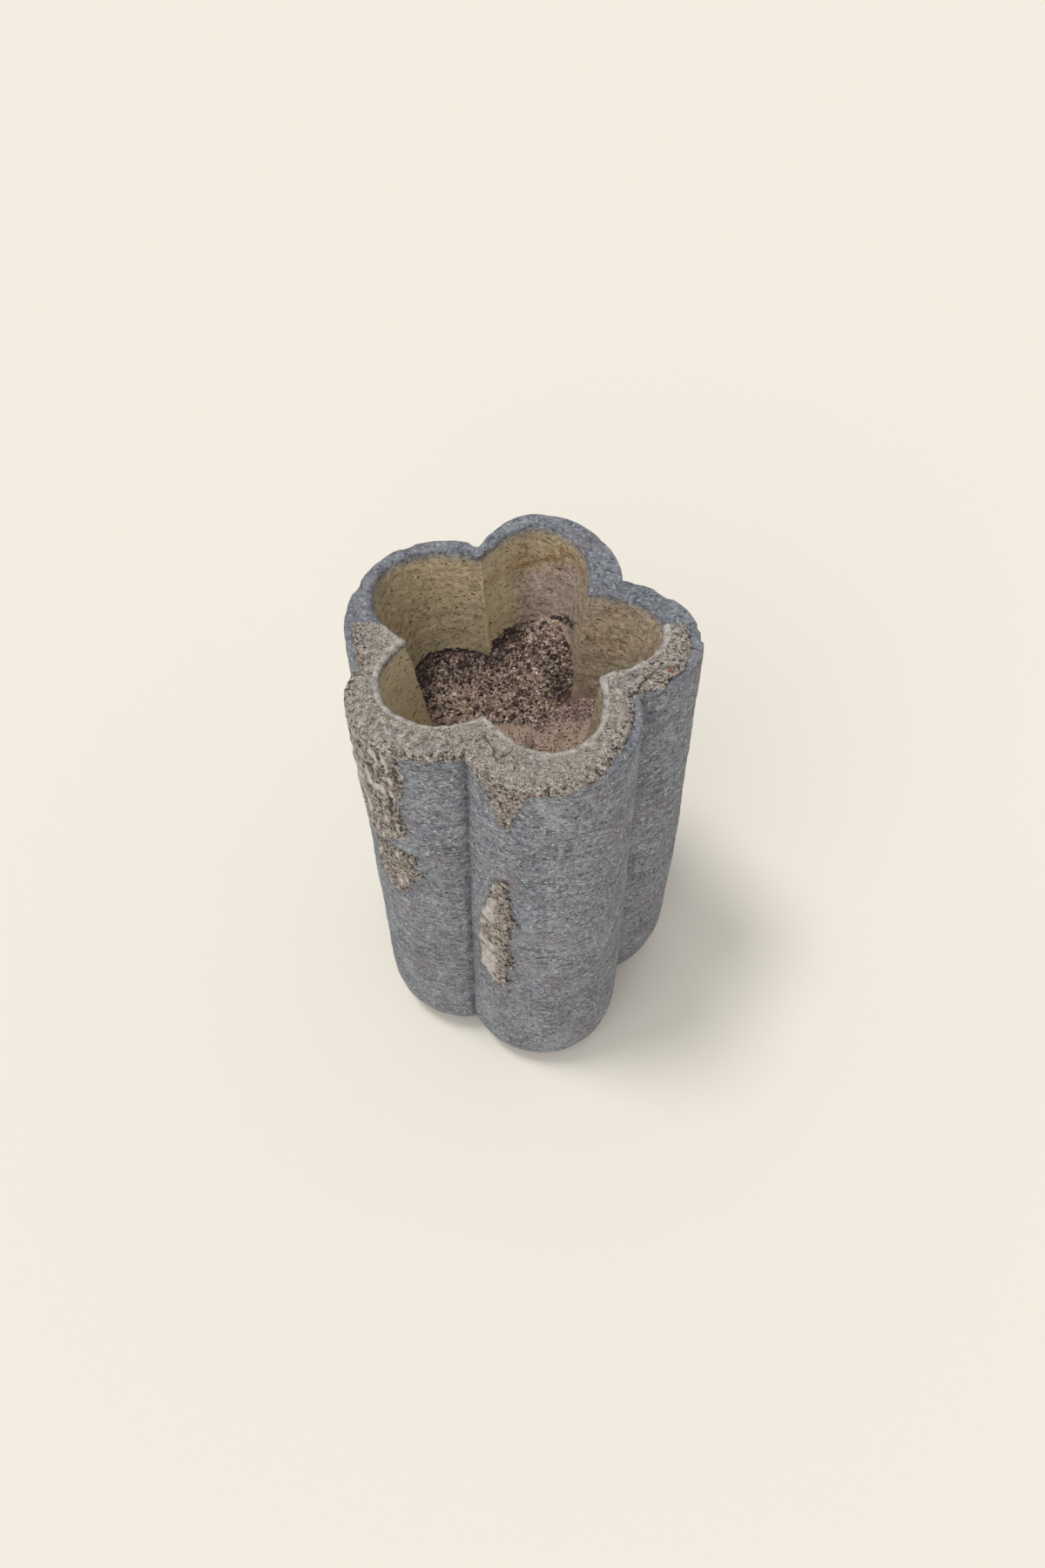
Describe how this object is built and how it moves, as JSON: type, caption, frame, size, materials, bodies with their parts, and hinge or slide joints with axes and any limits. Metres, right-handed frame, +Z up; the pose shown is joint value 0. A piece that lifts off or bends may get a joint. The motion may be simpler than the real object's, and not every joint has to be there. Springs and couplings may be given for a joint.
{
  "type": "limestone floor planter",
  "caption": "Tall floor planter carved from limestone with a lobed outline, hollowed from the top, with lime crust on its rim and flank and an old planting fill inside.",
  "frame": {"origin": "on the floor, under the middle of the whole object's box", "axes": "+Z up out of the mouth, -Y towards the front lobe, +X to the viewer's right"},
  "size_m": [0.4038, 0.4247, 0.61],
  "materials": {
    "blue_limestone": "tooled and weathered, blue-grey with dark and pale flecks",
    "lime_crust": "coarse, dry, warm beige",
    "fired_clay": "unglazed",
    "gravel": "washed river gravel",
    "soil": "settled planting soil",
    "silt": "fine, dry, pinkish brown",
    "litter": "coarse dark leaf and bark litter",
    "pale_chips": "broken limestone chips"
  },
  "bodies": {
    "root": {"stone_vessel": "blue_limestone", "left_rim_crust": "lime_crust", "front_rim_crust": "lime_crust", "right_rim_crust": "lime_crust", "drip_crust": "lime_crust", "left_flank_crust_upper": "lime_crust", "left_flank_crust_lower": "lime_crust", "front_groove_crust": "lime_crust", "drain_crock": "fired_clay", "drainage_gravel": "gravel", "soil_fill": "soil", "silt_bed": "silt", "litter_heap": "litter", "stone_chips": "pale_chips"}
  },
  "joints": []
}
